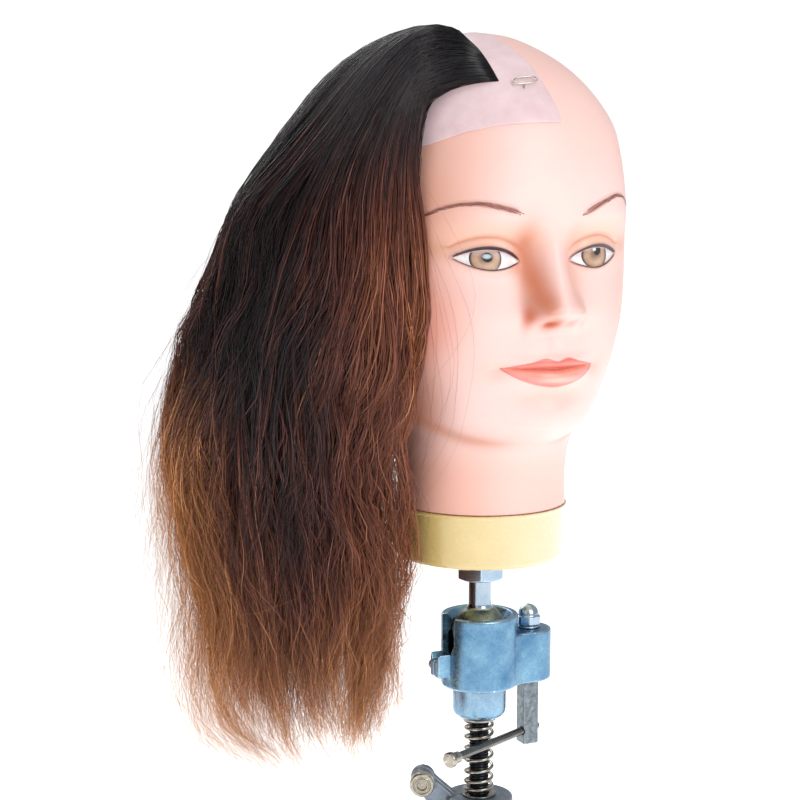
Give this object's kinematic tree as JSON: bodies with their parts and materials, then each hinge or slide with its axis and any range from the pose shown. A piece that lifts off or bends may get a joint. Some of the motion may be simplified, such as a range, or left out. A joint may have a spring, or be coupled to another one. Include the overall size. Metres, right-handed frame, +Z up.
{
  "type": "mannequin training head",
  "caption": "Hairdressing practice head with a hairpiece over half of the scalp, on a ball-jointed swivel holder with a cam lock, spring post and table clamp.",
  "frame": {"origin": "on the post's axis, in the plane where the clamp's upper jaw rests on the table", "axes": "+Z up along the post, the face looks toward -Y, the head's own right side (the side with hair) is -X"},
  "size_m": [0.2471, 0.2103, 0.6433],
  "materials": {
    "skin": "soft satin vinyl, painted",
    "patch": "thin translucent skin",
    "yellow": "gloss",
    "foam": "open-cell foam",
    "hair": "wavy hair, lighter tips",
    "zinc": "blue-grey satin metal",
    "chrome": "polished",
    "steel": "plated",
    "dark_steel": "blackened",
    "cast": "grey paint on casting",
    "rubber": "matt",
    "nylon": "natural",
    "brass": "turned"
  },
  "bodies": {
    "clamp": {"clamp_frame": "cast", "jaw_pad": "rubber", "clamp_bush": "brass", "lock_nut": "steel", "spring_seat_lower": "steel", "spring": "steel"},
    "lock": {"lock_screw": "steel"},
    "clamp_foot": {"swivel_pad": "cast", "pad_cap": "rubber"},
    "screw": {"clamp_screw": "steel"},
    "screw_bar": {"clamp_bar": "steel", "clamp_bar_cap_left": "dark_steel", "clamp_bar_cap_right": "dark_steel"},
    "post": {"spindle": "dark_steel", "spring_seat_upper": "steel"},
    "holder": {"lower_collar": "zinc", "thrust_washer": "brass", "socket_housing": "zinc", "ear_screw": "steel"},
    "plunger": {"pressure_pad": "brass"},
    "cam": {"cam_shaft": "steel", "acorn_nut": "chrome", "cam_washer": "steel"},
    "tommy": {"tommy_bar": "steel", "tommy_bar_button": "steel"},
    "seat": {"ball_seat": "nylon"},
    "ball": {"ball_stud": "chrome", "hex_locknut": "chrome"},
    "head": {"head_skin": "skin", "foam_core": "foam", "neck_cap": "yellow", "threaded_insert": "brass", "insert_screw_1": "steel", "insert_screw_2": "steel", "insert_screw_3": "steel", "hairpiece_base": "patch", "hair": "hair", "wig_pin": "steel"}
  },
  "joints": [
    {"name": "clamp_travel", "type": "slide", "parent": "clamp", "child": "clamp_foot", "axis": [0, 0, 1], "range_m": [-0.024, 0.03]},
    {"name": "clamp_screw_turn", "type": "hinge", "parent": "clamp_foot", "child": "screw", "pos_m": [0, -0.014, -0.1], "axis": [0, 0, 1], "range_deg": [-2885, 3605]},
    {"name": "clamp_bar_slide", "type": "slide", "parent": "screw", "child": "screw_bar", "axis": [1, 0, 0], "range_m": [-0.022, 0.022]},
    {"name": "lock_screw_turn", "type": "hinge", "parent": "clamp", "child": "lock", "pos_m": [-0.0276, 0.01407, 0.046], "axis": [-0.454, -0.891, 0], "range_deg": [0, 360]},
    {"name": "post_height", "type": "slide", "parent": "clamp", "child": "post", "axis": [0, 0, 1], "range_m": [-0.01, 0], "stiffness_N_per_m": 5300, "springref_m": 0.012, "deforming": ["spring"]},
    {"name": "stand_swivel", "type": "hinge", "parent": "post", "child": "holder", "pos_m": [0, 0, 0.0925], "axis": [0, 0, 1], "continuous": true},
    {"name": "cam_turn", "type": "hinge", "parent": "holder", "child": "cam", "pos_m": [0.03, 0, 0.1], "axis": [0, 0, 1], "range_deg": [-3, 100]},
    {"name": "plunger_travel", "type": "slide", "parent": "holder", "child": "plunger", "axis": [1, 0, 0], "range_m": [-0.00078, 0.00004]},
    {"name": "tommy_bar_slide", "type": "slide", "parent": "cam", "child": "tommy", "axis": [0.8988, 0.4384, 0], "range_m": [0, 0.055]},
    {"name": "ball_nod", "type": "hinge", "parent": "holder", "child": "seat", "pos_m": [0, 0, 0.131], "axis": [1, 0, 0], "range_deg": [-15, 15], "stiffness_Nm_per_rad": 60, "deforming": ["hair"]},
    {"name": "ball_tilt", "type": "hinge", "parent": "seat", "child": "ball", "pos_m": [0, 0, 0.131], "axis": [0, -1, 0], "range_deg": [-30, 80], "stiffness_Nm_per_rad": 60, "deforming": ["hair"]},
    {"name": "head_turn", "type": "hinge", "parent": "ball", "child": "head", "pos_m": [0, 0, 0.19], "axis": [0, 0, 1], "continuous": true, "deforming": ["hair"]}
  ],
  "couplings": [
    {"joint": "clamp_screw_turn", "follows": "clamp_travel", "rad_per_m": 2094.4},
    {"joint": "plunger_travel", "follows": "cam_turn", "m_per_rad": -0.000437}
  ]
}
